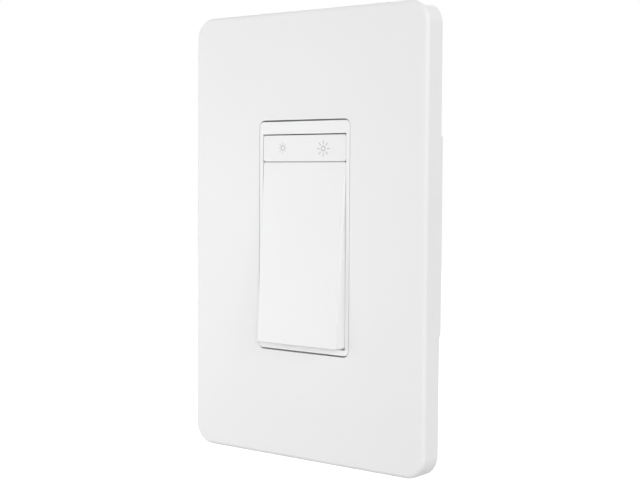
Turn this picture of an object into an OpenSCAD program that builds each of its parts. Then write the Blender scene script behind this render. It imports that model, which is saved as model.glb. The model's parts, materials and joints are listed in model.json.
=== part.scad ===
// Smart dimmer switch for one decorator opening, with its screwless wall plate.
// Millimetres. X runs to the right, Y into the wall and Z up.
// The origin is the middle of the wall plane, where the metal strap's back lies.

/* [Cover plate] */
// Width of the cover plate
cover_w = 84.4; // [80:0.1:110]
// How far the cover plate reaches past each end of the strap
cover_reach = 11.9; // [10:0.05:30]
// How far the front of the cover plate stands off the wall
cover_depth = 7.75; // [7.5:0.05:11]
// Wall thickness of the cover plate
cover_wall = 1.9; // [1.4:0.1:2]
// Corner radius of the cover plate, seen from the front
cover_corner_r = 6.2; // [3:0.1:9]
// Radius of the rounded front edge of the cover plate
cover_edge_r = 1.2; // [0.4:0.1:1.8]
// How far most of the skirt's back edge stays clear of the wall
skirt_relief = 0.7; // [0.2:0.1:1.2]
// Length of the land on each side skirt that reaches the wall
skirt_land = 54.2; // [20:0.2:90]
// How far the middle of that land lies above the middle of the cover plate
land_rise = 1.2; // [0:0.1:4]
// Width of the decorator opening in the cover plate
opening_w = 33.3; // [33.2:0.1:36]
// Height of the decorator opening in the cover plate
opening_h = 66.8; // [66.7:0.1:70]
// Corner radius of the decorator opening
opening_r = 2; // [0.5:0.1:3]

/* [Mounting plate] */
// Thickness of the mounting plate's panel
panel_t = 1.6; // [1.2:0.1:1.7]
// Gap between the panel and the back of the cover plate's front wall
panel_gap = 0.6; // [0.3:0.05:0.7]
// Thickness of the rim that stands on the wall
rim_t = 1.8; // [1.2:0.1:2.4]
// Clearance all round between the rim and the cover plate's skirt
rim_gap = 0.3; // [0.1:0.05:0.6]
// Length of each snap tooth between cover plate and mounting plate
snap_len = 10; // [6:1:14]
// How far each snap tooth stands out
snap_h = 0.7; // [0.4:0.1:0.9]

/* [Strap and screws] */
// Thickness of the metal strap
strap_t = 1.3; // [1:0.1:1.5]
// How far the strap's body reaches past each end of the rear housing
strap_reach = 2; // [1.5:0.1:2.4]
// Width of the ears that bear on the wall
ear_w = 38; // [30:1:46]
// How far each device-box screw lies beyond the end of the opening
box_screw_reach = 8.25; // [8.1:0.05:8.4]
// Distance from each device-box screw to the cover-mounting screw beyond it
screw_step = 6.75; // [6.6:0.05:7.5]
// Shank radius of the number 6 screws
screw_r = 1.75; // [1.6:0.05:1.8]
// Length of the device-box screws under the head
box_screw_len = 22; // [14:1:30]
// Length of the cover-mounting screws
plate_screw_len = 9.5; // [8:0.5:14]

/* [Bezel] */
// Gap on each side between the bezel and the decorator opening
bezel_gap = 0.12; // [0.1:0.01:0.4]
// Gap at each end between the bezel and the decorator opening
bezel_end_gap = 0.45; // [0.2:0.05:0.5]
// Corner radius of the bezel, seen from the front
bezel_r = 1.4; // [1:0.1:2]
// Width of the bezel's side walls
bezel_side = 1.2; // [1:0.1:1.6]
// Width of the bezel's top wall
bezel_top = 3.6; // [3.6:0.1:4.6]
// Width of the bezel's bottom wall
bezel_bottom = 1.6; // [1.2:0.1:3]
// Thickness of the tray floor behind the controls
floor_t = 1.3; // [1:0.1:1.6]

/* [Controls] */
// Gap at each end of the well that the controls move in
control_gap = 0.3; // [0.2:0.05:0.5]
// Gap on each side of the controls
control_side_gap = 0.2; // [0.18:0.01:0.4]
// Gap between the dimmer bar and the paddle
bar_gap = 0.13; // [0.12:0.01:0.4]
// Height of the dimmer bar
bar_h = 7.5; // [7:0.1:8.5]
// How far the dimmer bar rocks each way, in degrees
bar_swing = 1.5; // [0.5:0.1:1.8]
// How far the paddle's lower edge stands proud of the cover plate
paddle_proud = 3.45; // [2:0.05:5]
// How far the paddle's upper edge lies behind the cover plate's front
paddle_sink = 0.1; // [0:0.05:0.5]
// How far the paddle tilts when it is pressed, in degrees
paddle_press = 2; // [1:0.1:2.2]
// Wall thickness of the paddle and the dimmer bar
control_wall = 1.4; // [1:0.1:1.6]
// Corner radius of the paddle and the dimmer bar, seen from the front
control_r = 0.8; // [0.5:0.1:1]
// Radius on the paddle's outer edges
paddle_edge_r = 0.45; // [0.3:0.05:0.8]
// Radius on the dimmer bar's outer edges
bar_edge_r = 0.3; // [0.2:0.05:0.6]
// Radius of the moulded pivot pins
pivot_r = 0.9; // [0.7:0.05:1]
// Running clearance round the pivot pins
pivot_gap = 0.06; // [0.04:0.01:0.1]
// Distance of each dimmer switch from the middle
dim_switch_x = 7; // [6.5:0.1:7.2]
// Distance of the paddle's switch below the paddle's pivot
paddle_switch_drop = 10; // [9:0.5:12]

/* [Circuit boards] */
// Thickness of the two circuit boards
board_t = 1.6; // [1.2:0.1:1.8]
// Distance from the strap's back to the control board
board_standoff = 1.5; // [1.2:0.1:2]
// Clearance on each side between the control board and the rear housing
control_board_gap = 1.2; // [0.8:0.1:2.5]
// Clearance on each side between the power board and the rear housing
power_board_gap = 0.7; // [0.4:0.1:2]
// Distance from the strap's back to the power board
power_board_y = 14; // [14:0.1:15]
// Radius of the choke's winding
choke_r = 7.5; // [6:0.1:7.7]
// Height of the large components behind the power board
part_height = 12.5; // [9:0.1:13]

/* [Rear housing] */
// Width of the rear housing
housing_w = 41; // [41:0.1:44]
// How far the rear housing reaches past its upper screws
housing_reach = 3.7; // [3.4:0.1:4.5]
// Depth of the rear housing behind the wall plane
housing_d = 32; // [32:0.5:40]
// Wall thickness of the rear housing
housing_wall = 1.8; // [1.4:0.1:2]
// How far each wall of the rear housing leans in behind its ribs
housing_draft = 0.5; // [0:0.1:0.8]
// Radius of the rear housing's outer edges
housing_r = 2.4; // [2.1:0.1:3]
// Shank radius of the long housing screws
long_screw_r = 1.25; // [1:0.05:1.3]
// Width of each terminal window
terminal_w = 10.5; // [8:0.5:12]
// Distance of the terminals above and below the middle
terminal_z = 12; // [9:0.5:14]

/* [Hidden] */
$fn = 48;

slack = 0.02;                   // sliding room where one fixed piece passes through another
through = 0.5;                  // how far a cutting tool runs past the face it cuts
front_y = -cover_depth;         // front of the cover plate and of the bezel
strap_y = -strap_t;             // front of the strap; its back lies on the wall plane
cover_in_y = front_y + cover_wall;
panel_y = cover_in_y + panel_gap;
panel_back_y = panel_y + panel_t;
bezel_w = opening_w - 2 * bezel_gap;
bezel_h = opening_h - 2 * bezel_end_gap;
long_top_z = bezel_h / 2 - bezel_top / 2;
housing_h = 2 * (long_top_z + housing_reach);
strap_w = housing_w;            // the housing is as wide as the strap that closes it
strap_h = housing_h + 2 * strap_reach;
box_pitch = opening_h + 2 * box_screw_reach;
plate_pitch = box_pitch + 2 * screw_step;
neck_h = plate_pitch / 2 + 4.2; // half height of the strap with its ears
cover_h = 2 * (neck_h + cover_reach);
pry_w = 8;                      // notch at the bottom, where a screwdriver lifts the cover off
pry_d = 1.2;

rim_w = cover_w - 2 * cover_wall - 2 * rim_gap;
rim_h = cover_h - 2 * cover_wall - 2 * rim_gap;
rim_r = max(0.8, cover_corner_r - cover_wall - rim_gap);
stiffener_w = (rim_w - opening_w) / 2 - 12;
stiffener_z = 26;
sight_x = 22;                   // windows that show the strap's ears behind the mounting plate
sight_w = 11;
sight_h = 5;
snap_y = panel_back_y + 0.5;    // front of the teeth on the rim
snap_d = 0.9;                   // depth of a tooth
snap_z = cover_h * 0.36;        // teeth near the ends of the side rims
snap_x = cover_w * 0.26;        // teeth near the corners of the top and bottom rims

head_r = 3.3;                   // pan head of a number 6 screw
head_h = 1.8;
screw_neck_r = 1.3;             // neck of a device-box screw, so that a washer can hold it in the strap
screw_neck_d = 0.4;             // how far the neck reaches behind the strap
box_slot_gap = 0.25;            // clearance round a device-box screw in its slot
slot_w = 0.9;                   // screwdriver slot
slot_d = 0.8;
sink_r = 3.1;                   // countersunk head of a number 6 screw
sink_h = 1.5;
boss_r = 3.05;                  // boss that carries the mounting plate on the strap

ear_h = 9;                      // height of an ear
neck_w = 19;                    // neck between the strap's body and its ear
slot_len = 7.5;                 // slot for a device-box screw
score_r = 0.7;                  // small holes that let an ear snap off
ground_tab_w = 9;
ground_tab_d = 9.5;
ground_x = -strap_w / 2 + ground_tab_w / 2;

well_w = bezel_w - 2 * bezel_side;
well_top = bezel_h / 2 - bezel_top;
well_bottom = -bezel_h / 2 + bezel_bottom;
floor_y = strap_y - floor_t;    // front of the tray floor

control_w = well_w - 2 * control_side_gap;
bar_top = well_top - control_gap;
bar_bottom = bar_top - bar_h;
bar_z = (bar_top + bar_bottom) / 2;
paddle_top = bar_bottom - bar_gap;
paddle_bottom = well_bottom + control_gap;
paddle_rise = paddle_proud + paddle_sink;
function paddle_face(z) =
    front_y + paddle_sink - paddle_rise * (paddle_top - z) / (paddle_top - paddle_bottom);

pivot_z = paddle_top - 2.6;     // paddle's pivot line
pivot_y = floor_y - 1.9;
pin_len = min(0.8, bezel_side - 0.3);
pin_reach = control_side_gap + pin_len;
stop_gap = 0.1;                 // left between a pressed paddle and the tray floor
skirt_top_y = floor_y - 0.45;
skirt_bottom_y = floor_y - stop_gap - 0.15 - (pivot_z - paddle_bottom) * sin(paddle_press);

switch_size = 6;                // square housing of a push switch
switch_r = 1.6;                 // stem of a push switch
board_y = board_standoff;
stem_y = floor_y - 0.8;         // tip of each stem at rest
switch_y = floor_y + 0.6;       // front of each switch housing
touch_gap = 0.05;               // between a stem and the post that presses it
dim_travel = dim_switch_x * sin(bar_swing);
paddle_travel = paddle_switch_drop * sin(paddle_press);
paddle_switch_z = pivot_z - paddle_switch_drop;
bar_pivot_y = floor_y - 1.7;    // the dimmer bar rocks about an upright line
bar_ear_t = 1.3;                // ears that hold the bar's pins
bar_rib_h = bar_h - 2 * bar_ear_t - 2.2;
post_tip_r = 0.8;               // narrow tip of a post that presses a switch

spring_x = 6.5;
spring_z = paddle_bottom + 11.9;
spring_r = 2.1;
spring_wire = 0.3;
spring_turns = 5;
peg_r = 1.5;
peg_h = 1.4;

window_w = 2 * dim_switch_x + switch_size + 1;
window_top = bar_z + switch_size / 2 + 0.6;
window_bottom = -bezel_h / 2 + 8.7;
long_x = window_w / 2 + 1.2;
long_bottom_z = window_bottom - 3;
post_r = 2.4;                   // bosses and posts round the long screws
LONG_SCREWS = [
    [-long_x, long_top_z], [long_x, long_top_z], [-long_x, long_bottom_z], [long_x, long_bottom_z]
];

board_top = long_top_z - post_r - 0.3;
board_bottom = window_bottom;
spacer_r = 1.7;
sheet_t = 0.4;
cavity_w = housing_w - 2 * housing_wall;
cavity_h = housing_h - 2 * housing_wall;
control_board_w = cavity_w - 2 * control_board_gap;
power_board_w = cavity_w - 2 * power_board_gap;
spacer_x = (control_board_w + window_w) / 4;
power_board_h = cavity_h - 0.8;
power_back_y = power_board_y + board_t;
terminal_y = (board_y + board_t + power_board_y) / 2;
pocket_x = housing_w / 2 - 7.7; // inner wall of each terminal pocket
pocket_t = 1.2;
// The pockets lie between the two boards, 0.25 clear of each.
terminal_d = power_board_y - board_y - board_t - 2 * pocket_t - 0.5;
clamp_t = 1;
screw_shift = 0.4;              // the screw sits clear of its plate's turned-up edge
terminal_head_r = 3.1;
terminal_head_h = 1.9;
rib_t = 1.6;                    // ribs that part the terminals on the housing's sides
rib_h = 1.2;
rib_d = 22;
gauge_w = 12;                   // groove that shows how far a wire is stripped
gauge_h = 1.4;
gauge_d = 0.6;
gauge_drop = 8;                 // its distance below the housing's top
vent_w = 22;
vent_h = 1.4;
vent_step = 4;
vent_reach = 16;                // heights of the outermost vents

// Parts on the control board's back, from the bottom up.
radio_y = board_y + board_t;
radio_w = 16;
radio_h = 22;
radio_t = 0.8;
radio_low = window_bottom + 4.5;
radio_high = radio_low + radio_h;
shield_edge = 0.7;              // rim of the radio board left round its shield
shield_h = 15.3;
shield_d = 2.3;
shield_t = 0.3;
header_w = 15.4;
header_h = 2.5;
header_z = board_top - 5.5;
processor_size = 7;
processor_z = (radio_high + header_z) / 2;

// Parts on the power board's back.
board_left = -power_board_w / 2;
board_right = power_board_w / 2;
part_back_y = power_back_y + part_height;
film_top = long_top_z - post_r - 1.9;
film_h = 7;
film_gap = 2.6;
choke_depth = 8;
choke_skin = 1.2;               // thickness of the winding over its core
choke_bore = 2.4;
choke_x = board_right - choke_r - 1.9;
choke_z = film_top - 9;
can_r = 4.2;                    // electrolytic capacitors
can_x = board_left + 7;
CAN_Z = [film_top - 15, film_top - 25];
core_left = board_left + 12;    // transformer
core_w = 16;
core_h = 15;
core_t = 2.5;
core_low = window_bottom + 0.5;
coil_inset = 1.5;
rectifier_low = window_bottom + 1.1;
rectifier_w = 8.5;
rectifier_h = 8;
rectifier_d = 3;
varistor_r = 3.4;
varistor_d = 4;
varistor_x = board_right - 4;
varistor_z = choke_z - choke_r - 13.5;
fuse_r = 3.2;
fuse_d = 7;
fuse_x = varistor_x - 9.5;
fuse_z = (core_low + core_h + choke_z - choke_r) / 2;
pad_t = 0.5;
triac_w = 9.2;
triac_h = 8;
triac_d = 4.3;
triac_z = window_bottom - 4.2;
leg_w = 0.8;
leg_t = 0.6;
LEG_X = [-2.5, 0, 2.5];

WHITE = [0.93, 0.93, 0.93];
STEEL = [0.72, 0.73, 0.75];
BOARD = [0.08, 0.36, 0.2];
BLACK = [0.12, 0.12, 0.13];

// A rounded rectangle in the plane of the wall.
module round_rect(w, h, r) {
    square([w - 2 * r, h], center = true);
    square([w, h - 2 * r], center = true);
    for (x = [-1, 1])
        for (z = [-1, 1])
            translate([x * (w / 2 - r), z * (h / 2 - r)])
                circle(r);
}

// A rounded slab parallel to the wall, from depth y0 to y1.
module slab(w, h, r, y0, y1) {
    translate([0, y1, 0])
        rotate([90, 0, 0])
            linear_extrude(y1 - y0)
                round_rect(w, h, r);
}

// A plain block between two corners.
module block(low, high) {
    translate(low)
        cube(high - low);
}

// A rod that runs into the wall from depth y0 to y1.
module rod_y(x, z, r, y0, y1) {
    translate([x, y0, z])
        rotate([-90, 0, 0])
            cylinder(r = r, h = y1 - y0);
}

// Outer form of the cover plate: four round corners with a rounded front edge, joined by one hull.
module cover_form() {
    hull()
        for (x = [-1, 1])
            for (z = [-1, 1])
                translate([x * (cover_w / 2 - cover_corner_r), front_y, z * (cover_h / 2 - cover_corner_r)])
                    rotate([-90, 0, 0])
                        rotate_extrude($fn = 64)
                            cover_corner_profile();
}

// Half section of one corner, with the front edge as a quarter circle.
module cover_corner_profile() {
    polygon(concat(
        [[0, 0]],
        [for (a = [0:10:90])
            [cover_corner_r - cover_edge_r * (1 - sin(a)), cover_edge_r * (1 - cos(a))]],
        [[cover_corner_r, cover_depth - skirt_relief], [0, cover_depth - skirt_relief]]
    ));
}

// Teeth on the side rims and on the top and bottom rims; grow pushes them out past the rim.
module snap_teeth(w, h, out, y0, y1, extra) {
    for (side = [-1, 1]) {
        for (z = [-snap_z, 0, snap_z])
            translate([side * (w / 2 + out / 2), (y0 + y1) / 2, z])
                cube([out, y1 - y0, snap_len + extra], center = true);
        for (x = [-snap_x, snap_x])
            translate([x, (y0 + y1) / 2, side * (h / 2 + out / 2)])
                cube([snap_len + extra, y1 - y0, out], center = true);
    }
}

module cover_plate() {
    color(WHITE)
    difference() {
        union() {
            cover_form();
            // Lands on the two side skirts reach the wall.
            for (side = [-1, 1])
                translate([side * (cover_w / 2 - cover_wall / 2), -skirt_relief / 2 - 0.5, land_rise])
                    cube([cover_wall, skirt_relief + 1, skirt_land], center = true);
        }
        slab(cover_w - 2 * cover_wall, cover_h - 2 * cover_wall, max(0.8, cover_corner_r - cover_wall),
            cover_in_y, through);
        slab(opening_w, opening_h, opening_r, front_y - through, cover_in_y + through);
        // Notch at the bottom, for the screwdriver that lifts the cover off.
        block([-pry_w / 2, -skirt_relief - pry_d, -cover_h / 2 - through],
            [pry_w / 2, through, -cover_h / 2 + cover_wall + through]);
        // Grooves that the mounting plate's teeth snap into.
        snap_teeth(cover_w - 2 * cover_wall - slack, cover_h - 2 * cover_wall - slack,
            snap_h - rim_gap + 0.1, snap_y - 0.1, snap_y + snap_d + 0.1, 0.4);
    }
}

module mounting_plate() {
    color(WHITE)
    difference() {
        union() {
            slab(rim_w, rim_h, rim_r, panel_y, 0);
            snap_teeth(rim_w - slack, rim_h - slack, snap_h, snap_y, snap_y + snap_d, 0);
        }
        // Hollow behind the panel, inside the rim.
        difference() {
            slab(rim_w - 2 * rim_t, rim_h - 2 * rim_t, max(0.5, rim_r - rim_t), panel_back_y, through);
            for (side = [-1, 1])
                rod_y(0, side * plate_pitch / 2, boss_r, panel_back_y - through, strap_y);
            // Ribs that stiffen the panel beside the opening.
            for (side = [-1, 1])
                for (z = [-stiffener_z, 0, stiffener_z])
                    translate([side * (rim_w + opening_w) / 4, panel_back_y, z])
                        cube([stiffener_w, 2, 1.2], center = true);
        }
        // Opening for the bezel.
        slab(opening_w + 1, opening_h + 1, opening_r, panel_y - through, through);
        // Holes for the two screws, with their countersinks.
        for (side = [-1, 1]) {
            rod_y(0, side * plate_pitch / 2, screw_r + 0.15, panel_y - through, through);
            translate([0, panel_y - slack, side * plate_pitch / 2])
                rotate([-90, 0, 0])
                    cylinder(r1 = sink_r + 0.15, r2 = screw_r + 0.15, h = sink_h + 0.1);
        }
        // Sight windows, for setting the plate level with the ears.
        for (side = [-1, 1])
            for (z = [-1, 1])
                translate([side * sight_x, panel_y, z * (plate_pitch / 2 + 1)])
                    cube([sight_w, 8, sight_h], center = true);
    }
}

module slotted_head(r) {
    cube([2 * r + 2, slot_w, 2 * slot_d], center = true);
}

// A countersunk screw whose head lies flush with the mounting plate.
module plate_screws() {
    color(WHITE)
    for (side = [-1, 1])
        translate([0, panel_y, side * plate_pitch / 2])
            rotate([-90, 0, 0])
                difference() {
                    union() {
                        cylinder(r1 = sink_r, r2 = screw_r, h = sink_h);
                        cylinder(r = screw_r, h = plate_screw_len);
                    }
                    slotted_head(sink_r);
                }
}

// A pan-head screw through each slot of the strap, into the device box.
module box_screws() {
    color(STEEL)
    for (side = [-1, 1])
        translate([0, strap_y, side * box_pitch / 2])
            rotate([-90, 0, 0])
                difference() {
                    union() {
                        translate([0, 0, -head_h])
                            cylinder(r = head_r, h = head_h);
                        cylinder(r = screw_neck_r, h = strap_t + screw_neck_d + slack);
                        translate([0, 0, strap_t + screw_neck_d])
                            cylinder(r = screw_r, h = box_screw_len - strap_t - screw_neck_d);
                    }
                    translate([0, 0, -head_h])
                        slotted_head(head_r);
                }
}

module strap() {
    color(STEEL) {
        difference() {
            union() {
                slab(strap_w, strap_h, 1.5, strap_y, 0);
                slab(neck_w, 2 * neck_h, 2, strap_y, 0);
                for (side = [-1, 1])
                    translate([0, 0, side * (neck_h - ear_h / 2)])
                        slab(ear_w, ear_h, 2, strap_y, 0);
            }
            translate([0, 0, (window_top + window_bottom) / 2])
                slab(window_w, window_top - window_bottom, 1, strap_y - through, through);
            for (side = [-1, 1]) {
                // Slots for the device-box screws, and tapped holes for the cover's screws.
                box_screw_slot(side * box_pitch / 2);
                rod_y(0, side * plate_pitch / 2, screw_r + slack, strap_y - through, through);
                // Break-off notches at the ears.
                for (x = [-1, 1]) {
                    for (z = [0:2:4])
                        rod_y(x * (neck_w / 2 + 0.6), side * (neck_h - ear_h / 2 - 2 + z), score_r,
                            strap_y - through, through);
                }
            }
            for (p = LONG_SCREWS)
                rod_y(p[0], p[1], long_screw_r + 0.2, strap_y - through, through);
        }
        // Tab for the ground screw, bent back into the box.
        difference() {
            block([ground_x - ground_tab_w / 2, -slack, -strap_h / 2],
                [ground_x + ground_tab_w / 2, ground_tab_d, -strap_h / 2 + strap_t]);
            translate([ground_x, ground_tab_d - 4.2, -strap_h / 2 - through])
                cylinder(r = screw_r + slack, h = strap_t + 2 * through);
        }
    }
}

// A slot across the strap, made of two round ends and the stretch between them.
module box_screw_slot(z) {
    half = screw_r + box_slot_gap;
    reach = slot_len / 2 - half;
    for (x = [-reach, reach])
        rod_y(x, z, half, strap_y - through, through);
    block([-reach, strap_y - through, z - half], [reach, through, z + half]);
}

// The bezel is one moulding: the frame in the opening, the tray floor and the supports on it.
module bezel() {
    color(WHITE)
    difference() {
        union() {
            difference() {
                slab(bezel_w, bezel_h, bezel_r, front_y, strap_y);
                // Well for the controls.
                block([-well_w / 2, front_y - through, well_bottom], [well_w / 2, floor_y, well_top]);
                // Cavities in the floor for the switches.
                for (x = [-dim_switch_x, dim_switch_x])
                    switch_window(x, bar_z);
                switch_window(0, paddle_switch_z);
            }
            // Ears that hold the dimmer bar's pins.
            for (z = [bar_bottom + 0.55, bar_top - 0.55 - bar_ear_t])
                block([-2.4, bar_pivot_y - pivot_r - 0.9, z], [2.4, floor_y + slack, z + bar_ear_t]);
            // Pegs for the paddle's springs.
            for (x = [-spring_x, spring_x])
                rod_y(x, spring_z, peg_r, floor_y - peg_h, floor_y + slack);
            // Bosses for the lower pair of long screws.
            for (p = LONG_SCREWS)
                if (p[1] < 0)
                    rod_y(p[0], p[1], post_r - 0.7, floor_y - 2.2, floor_y + slack);
        }
        for (p = LONG_SCREWS)
            rod_y(p[0], p[1], long_screw_r + slack, p[1] < 0 ? floor_y - 1.6 : strap_y - 4, strap_y + through);
        translate([0, bar_pivot_y, bar_bottom])
            cylinder(r = pivot_r + pivot_gap, h = bar_h);
        // Bores in the side walls for the paddle's pins.
        for (side = [-1, 1])
            translate([side * (well_w / 2 + (pin_len + 0.1) / 2), pivot_y, pivot_z])
                rotate([0, 90, 0])
                    cylinder(r = pivot_r + pivot_gap, h = pin_len + 0.1, center = true);
    }
}

module switch_window(x, z) {
    room = switch_size / 2 + 0.3;
    block([x - room, floor_y - through, z - room], [x + room, strap_y + through, z + room]);
}

// Outer form of a control between two heights, with every front edge rounded: the side view, the
// front view and the view along the face are three profiles, and the form is where they cross.
module control_form(low, high, face_low, face_high, back_low, back_high, edge_r) {
    tilt = atan2(face_high - face_low, high - low);
    intersection() {
        translate([-control_w / 2, 0, 0])
            rotate([90, 0, 90])
                linear_extrude(control_w)
                    side_view(low, high, face_low, face_high, back_low, back_high, edge_r);
        translate([0, 0, (low + high) / 2])
            slab(control_w, high - low, control_r, face_low - 1, back_high + 2);
        translate([0, face_low, low])
            rotate([-tilt, 0, 0])
                translate([0, 0, -2])
                    linear_extrude(high - low + 4)
                        translate([0, 10])
                            round_rect(control_w, 20, edge_r);
    }
}

// Side view of a control, as [depth, height], with quarter circles at its two front corners.
module side_view(low, high, face_low, face_high, back_low, back_high, r) {
    function face(z) = face_low + (face_high - face_low) * (z - low) / (high - low);
    low_mid = [face(low + r) + r, low + r];
    high_mid = [face(high - r) + r, high - r];
    polygon(concat(
        [[back_high, high], [back_low, low]],
        [for (a = [0:15:90]) low_mid - r * [sin(a), cos(a)]],
        [for (a = [0:15:90]) high_mid + r * [-cos(a), sin(a)]]
    ));
}

// The paddle is a hollow wedge with a pin on each side near its top.
module paddle() {
    low_face = paddle_face(paddle_bottom);
    high_face = paddle_face(paddle_top);
    color(WHITE) {
        difference() {
            control_form(paddle_bottom, paddle_top, low_face, high_face, skirt_bottom_y, skirt_top_y,
                paddle_edge_r);
            paddle_hollow(low_face + control_wall, high_face + control_wall);
        }
        for (side = [-1, 1])
            translate([side * (control_w - control_wall + pin_reach) / 2, pivot_y, pivot_z])
                rotate([0, 90, 0])
                    cylinder(r = pivot_r, h = control_wall + pin_reach, center = true);
        press_post(0, paddle_switch_z, paddle_face(paddle_switch_z) + control_wall - 0.4);
        // Pegs inside the springs.
        for (x = [-spring_x, spring_x])
            rod_y(x, spring_z, peg_r, paddle_face(spring_z) + control_wall - 0.4,
                paddle_face(spring_z) + control_wall + peg_h);
        // Ribs inside the face.
        for (z = [paddle_bottom + 9, spring_z + 8, paddle_switch_z - 8])
            block([-control_w / 2 + control_wall / 2, paddle_face(z) + control_wall - 0.4, z],
                [control_w / 2 - control_wall / 2, paddle_face(z) + control_wall + 1, z + 1]);
    }
}

// Hollow of the paddle, as a profile carried across its width.
module paddle_hollow(low_y, high_y) {
    w = control_w - 2 * control_wall;
    translate([-w / 2, 0, 0])
        rotate([90, 0, 90])
            linear_extrude(w)
                polygon([
                    [low_y, paddle_bottom + control_wall],
                    [high_y, paddle_top - control_wall],
                    [through, paddle_top - control_wall],
                    [through, paddle_bottom + control_wall]
                ]);
}

// The dimmer bar rocks about its middle on two moulded pins.
module dimmer_bar() {
    back_y = floor_y - 0.9;
    inside_y = front_y + control_wall;
    color(WHITE) {
        difference() {
            control_form(bar_bottom, bar_top, front_y, front_y, back_y, back_y, bar_edge_r);
            block([-control_w / 2 + control_wall, inside_y, bar_bottom + 0.5],
                [control_w / 2 - control_wall, through, bar_top - 0.5]);
        }
        // Rib between the ears, with a pin at each end.
        block([-1.6, inside_y - 0.2, bar_z - bar_rib_h / 2], [1.6, bar_pivot_y + pivot_r, bar_z + bar_rib_h / 2]);
        translate([0, bar_pivot_y, bar_z])
            cylinder(r = pivot_r, h = bar_rib_h + 2 * bar_ear_t + 0.4, center = true);
        for (x = [-dim_switch_x, dim_switch_x])
            press_post(x, bar_z, inside_y - 0.4);
    }
}

// Post behind a control, with a narrow tip that presses a switch.
module press_post(x, z, y0) {
    rod_y(x, z, 1.5, y0, stem_y - touch_gap - 0.5);
    rod_y(x, z, post_tip_r, stem_y - touch_gap - 0.6, stem_y - touch_gap);
}

// One compression spring: a round wire swept along a helix, with points worked out turn by turn.
module coil_spring(x, z, y0, y1) {
    sides = 6;
    steps = spring_turns * 16;
    pitch = (y1 - y0 - 2 * spring_wire) / spring_turns;
    points = [for (i = [0:steps]) for (k = [0:sides - 1])
        let (turn = i * 360 / 16, around = k * 360 / sides,
            reach = spring_r + spring_wire * cos(around))
        [x + reach * cos(turn),
            y0 + spring_wire + pitch * turn / 360 + spring_wire * sin(around),
            z + reach * sin(turn)]];
    sides_faces = [for (i = [0:steps - 1]) for (k = [0:sides - 1])
        let (a = i * sides + k, b = i * sides + (k + 1) % sides)
        [a, b, b + sides, a + sides]];
    ends = [[for (k = [sides - 1:-1:0]) k], [for (k = [0:sides - 1]) steps * sides + k]];
    polyhedron(points, concat(sides_faces, ends), convexity = 10);
}

module paddle_springs() {
    color(STEEL)
    for (x = [-spring_x, spring_x])
        coil_spring(x, spring_z, paddle_face(spring_z) + control_wall + 0.25, floor_y - slack);
}

// Housing of a push switch on the control board, open for its stem.
module switch_housing(x, z, travel) {
    color(BLACK)
    difference() {
        union() {
            block([x - switch_size / 2, switch_y, z - switch_size / 2],
                [x + switch_size / 2, board_y, z + switch_size / 2]);
            rod_y(x, z, switch_r + 0.8, switch_y - 0.5, switch_y + slack);
        }
        rod_y(x, z, switch_r + 0.1, switch_y - 1, switch_y + 1 + travel + 0.3);
    }
}

module switch_stem(x, z) {
    color([0.85, 0.85, 0.82])
    rod_y(x, z, switch_r, stem_y, switch_y + 0.9);
}

module paddle_switch() {
    switch_housing(0, paddle_switch_z, paddle_travel);
}

module dim_switch() {
    switch_housing(-dim_switch_x, bar_z, dim_travel);
}

module bright_switch() {
    switch_housing(dim_switch_x, bar_z, dim_travel);
}

module paddle_switch_stem() {
    switch_stem(0, paddle_switch_z);
}

module dim_switch_stem() {
    switch_stem(-dim_switch_x, bar_z);
}

module bright_switch_stem() {
    switch_stem(dim_switch_x, bar_z);
}

module control_board() {
    color(BOARD)
    difference() {
        block([-control_board_w / 2, board_y, board_bottom], [control_board_w / 2, board_y + board_t, board_top]);
        for (x = [-spacer_x, spacer_x])
            for (z = [board_bottom + 3, board_top - 3])
                rod_y(x, z, 0.8, board_y - through, board_y + board_t + through);
    }
}

// Nylon spacers between the strap's insulator and the control board, with snap pins.
module board_spacers() {
    color(WHITE)
    for (x = [-spacer_x, spacer_x])
        for (z = [board_bottom + 3, board_top - 3]) {
            rod_y(x, z, spacer_r, sheet_t, board_y);
            rod_y(x, z, 0.8 - slack, board_y - 0.1, board_y + board_t + 0.6);
        }
}

module insulator_sheet() {
    color([0.82, 0.76, 0.55])
    difference() {
        block([-control_board_w / 2, 0, board_bottom], [control_board_w / 2, sheet_t, board_top]);
        block([-window_w / 2, -through, window_bottom - through], [window_w / 2, sheet_t + through, window_top]);
    }
}

module radio_board() {
    color([0.1, 0.12, 0.2])
    block([-radio_w / 2, radio_y, radio_low], [radio_w / 2, radio_y + radio_t, radio_high]);
}

// A folded can over the radio's chips, open towards its board.
module radio_shield() {
    half = radio_w / 2 - shield_edge;
    low = radio_low + shield_edge;
    front = radio_y + radio_t;
    color(STEEL)
    difference() {
        block([-half, front, low], [half, front + shield_d, low + shield_h]);
        block([-half + shield_t, front - through, low + shield_t],
            [half - shield_t, front + shield_d - shield_t, low + shield_h - shield_t]);
    }
}

module processor() {
    half = processor_size / 2;
    color(BLACK)
    block([-half, radio_y, processor_z - half], [half, radio_y + 1, processor_z + half]);
}

// Header that joins the two boards.
module board_header() {
    color(BLACK)
    block([-header_w / 2, radio_y, header_z], [header_w / 2, power_board_y, header_z + header_h]);
}

module power_board() {
    color(BOARD)
    difference() {
        block([board_left, power_board_y, -power_board_h / 2], [board_right, power_back_y, power_board_h / 2]);
        for (p = LONG_SCREWS)
            rod_y(p[0], p[1], post_r + 0.3, power_board_y - through, power_back_y + through);
    }
}

// The triac lies on the strap through its pad, and its legs run back to the power board.
module triac() {
    color(BLACK) {
        block([-triac_w / 2, pad_t, triac_z - triac_h / 2], [triac_w / 2, pad_t + triac_d, triac_z + triac_h / 2]);
        for (x = LEG_X)
            block([x - leg_w / 2, pad_t + triac_d, triac_z - leg_t / 2],
                [x + leg_w / 2, power_board_y, triac_z + leg_t / 2]);
    }
}

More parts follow.
